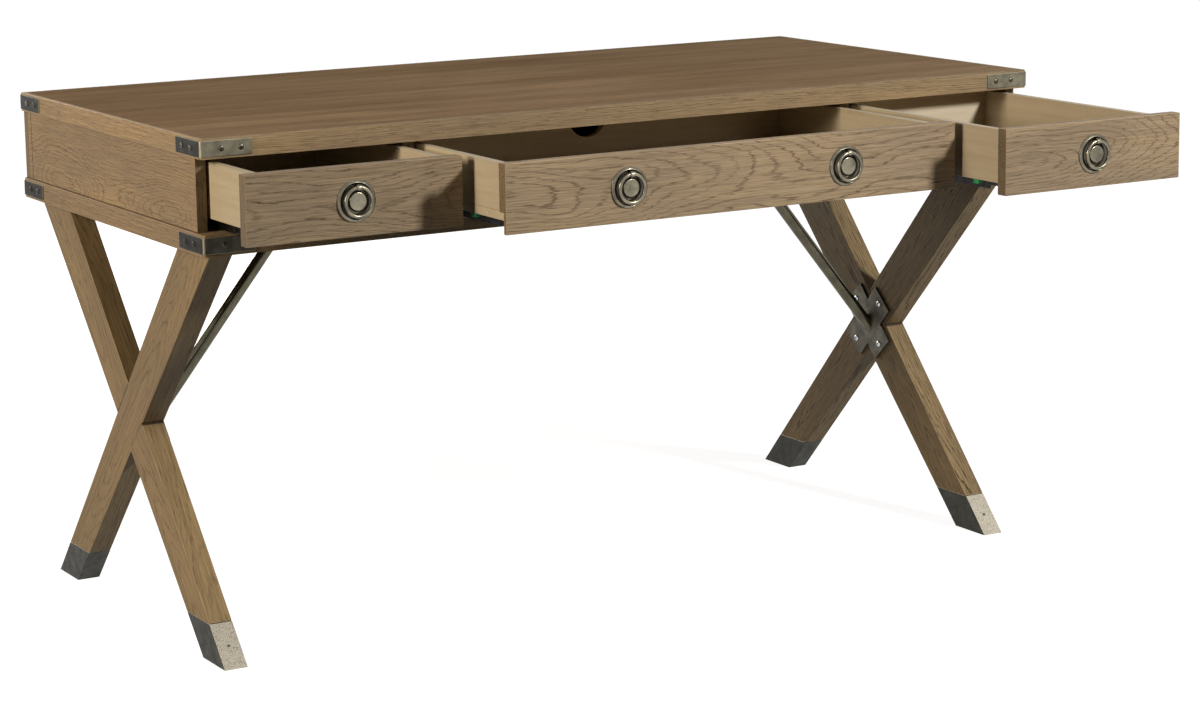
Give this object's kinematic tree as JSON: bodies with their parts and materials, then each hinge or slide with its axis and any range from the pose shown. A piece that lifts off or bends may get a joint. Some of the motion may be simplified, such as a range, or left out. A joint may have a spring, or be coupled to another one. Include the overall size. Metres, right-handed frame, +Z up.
{
  "type": "writing desk",
  "caption": "Writing desk on crossed wooden legs with metal braces and corners, open drawers with ring pulls and a drop-front middle drawer.",
  "frame": {"origin": "on the floor under the middle of the desk top", "axes": "+X along the desk to the right as seen from the drawers' side, +Y towards the back, +Z up"},
  "size_m": [1.4268, 1.0821, 0.762],
  "materials": {
    "oak": "satin weathered oak",
    "box_birch": "satin clear birch",
    "bracket_metal": "aged pewter",
    "bracket_screw_metal": "aged pewter",
    "cap_metal": "aged pewter",
    "plate_metal": "gunmetal",
    "zinc_screw": "bright zinc",
    "rod_metal": "aged pewter",
    "green_plastic": "moulded",
    "slide_zinc": "zinc plated",
    "hinge_brass": "satin",
    "pull_metal": "aged pewter"
  },
  "bodies": {
    "desk": {"top_panel": "oak", "top_edge_bands": "oak", "base_panel": "oak", "base_edge_bands": "oak", "side_panel_left": "oak", "side_panel_right": "oak", "back_panel": "oak", "divider_left": "oak", "divider_right": "oak", "corner_brackets_top": "bracket_metal", "corner_brackets_base": "bracket_metal", "bracket_screws_top": "bracket_screw_metal", "bracket_screws_base": "bracket_screw_metal", "leg_left_a": "oak", "leg_left_b": "oak", "leg_right_a": "oak", "leg_right_b": "oak", "foot_caps": "cap_metal", "cap_pins": "cap_metal", "cross_plate_left": "plate_metal", "cross_plate_right": "plate_metal", "brace_rod_left": "rod_metal", "brace_rod_right": "rod_metal", "rod_plates": "plate_metal", "plate_screws": "zinc_screw", "slide_fixed": "slide_zinc"},
    "drawer_left": {"drawer_sides_left": "box_birch", "drawer_back_left": "box_birch", "drawer_bottom_left": "box_birch", "slide_moving_left": "slide_zinc", "slide_clips_left": "green_plastic", "drawer_front_left": "oak", "pull_plate_left": "pull_metal", "pull_post_left": "pull_metal"},
    "drawer_center": {"drawer_sides_center": "box_birch", "drawer_back_center": "box_birch", "drawer_bottom_center": "box_birch", "slide_moving_center": "slide_zinc", "slide_clips_center": "green_plastic", "drop_hinge_pinned_leaves": "hinge_brass"},
    "drawer_right": {"drawer_sides_right": "box_birch", "drawer_back_right": "box_birch", "drawer_bottom_right": "box_birch", "slide_moving_right": "slide_zinc", "slide_clips_right": "green_plastic", "drawer_front_right": "oak", "pull_plate_right": "pull_metal", "pull_post_right": "pull_metal"},
    "drop_front": {"drawer_front_center": "oak", "drop_hinge_front_leaves": "hinge_brass", "pull_plate_center": "pull_metal", "pull_post_center": "pull_metal"},
    "middle_slides_left": {"slide_middle_left": "slide_zinc"},
    "middle_slides_center": {"slide_middle_center": "slide_zinc"},
    "middle_slides_right": {"slide_middle_right": "slide_zinc"},
    "ring_left": {"pull_ring_left": "pull_metal"},
    "ring_center_left": {"pull_ring_center_left": "pull_metal"},
    "ring_center_right": {"pull_ring_center_right": "pull_metal"},
    "ring_right": {"pull_ring_right": "pull_metal"}
  },
  "joints": [
    {"name": "drawer_left_slide", "type": "slide", "parent": "desk", "child": "drawer_left", "axis": [0, -1, 0], "range_m": [-0.153, 0.253]},
    {"name": "drawer_center_slide", "type": "slide", "parent": "desk", "child": "drawer_center", "axis": [0, -1, 0], "range_m": [-0.263, 0.143]},
    {"name": "drawer_right_slide", "type": "slide", "parent": "desk", "child": "drawer_right", "axis": [0, -1, 0], "range_m": [-0.375, 0.031]},
    {"name": "middle_slides_left_slide", "type": "slide", "parent": "desk", "child": "middle_slides_left", "axis": [0, -1, 0], "range_m": [-0.0765, 0.1265]},
    {"name": "middle_slides_center_slide", "type": "slide", "parent": "desk", "child": "middle_slides_center", "axis": [0, -1, 0], "range_m": [-0.1315, 0.0715]},
    {"name": "middle_slides_right_slide", "type": "slide", "parent": "desk", "child": "middle_slides_right", "axis": [0, -1, 0], "range_m": [-0.1875, 0.0155]},
    {"name": "drop_front_hinge", "type": "hinge", "parent": "drawer_center", "child": "drop_front", "pos_m": [0, -0.5945, 0.644], "axis": [1, 0, 0], "range_deg": [0, 90]},
    {"name": "ring_left_hinge", "type": "hinge", "parent": "drawer_left", "child": "ring_left", "pos_m": [-0.547, -0.5035, 0.7005], "axis": [-1, 0, 0], "range_deg": [0, 100]},
    {"name": "ring_center_left_hinge", "type": "hinge", "parent": "drop_front", "child": "ring_center_left", "pos_m": [-0.1825, -0.6135, 0.7005], "axis": [-1, 0, 0], "range_deg": [0, 100]},
    {"name": "ring_center_right_hinge", "type": "hinge", "parent": "drop_front", "child": "ring_center_right", "pos_m": [0.1825, -0.6135, 0.7005], "axis": [-1, 0, 0], "range_deg": [0, 100]},
    {"name": "ring_right_hinge", "type": "hinge", "parent": "drawer_right", "child": "ring_right", "pos_m": [0.547, -0.7255, 0.7005], "axis": [-1, 0, 0], "range_deg": [0, 100]}
  ],
  "couplings": [
    {"joint": "middle_slides_left_slide", "follows": "drawer_left_slide", "ratio": 0.5},
    {"joint": "middle_slides_center_slide", "follows": "drawer_center_slide", "ratio": 0.5},
    {"joint": "middle_slides_right_slide", "follows": "drawer_right_slide", "ratio": 0.5}
  ]
}
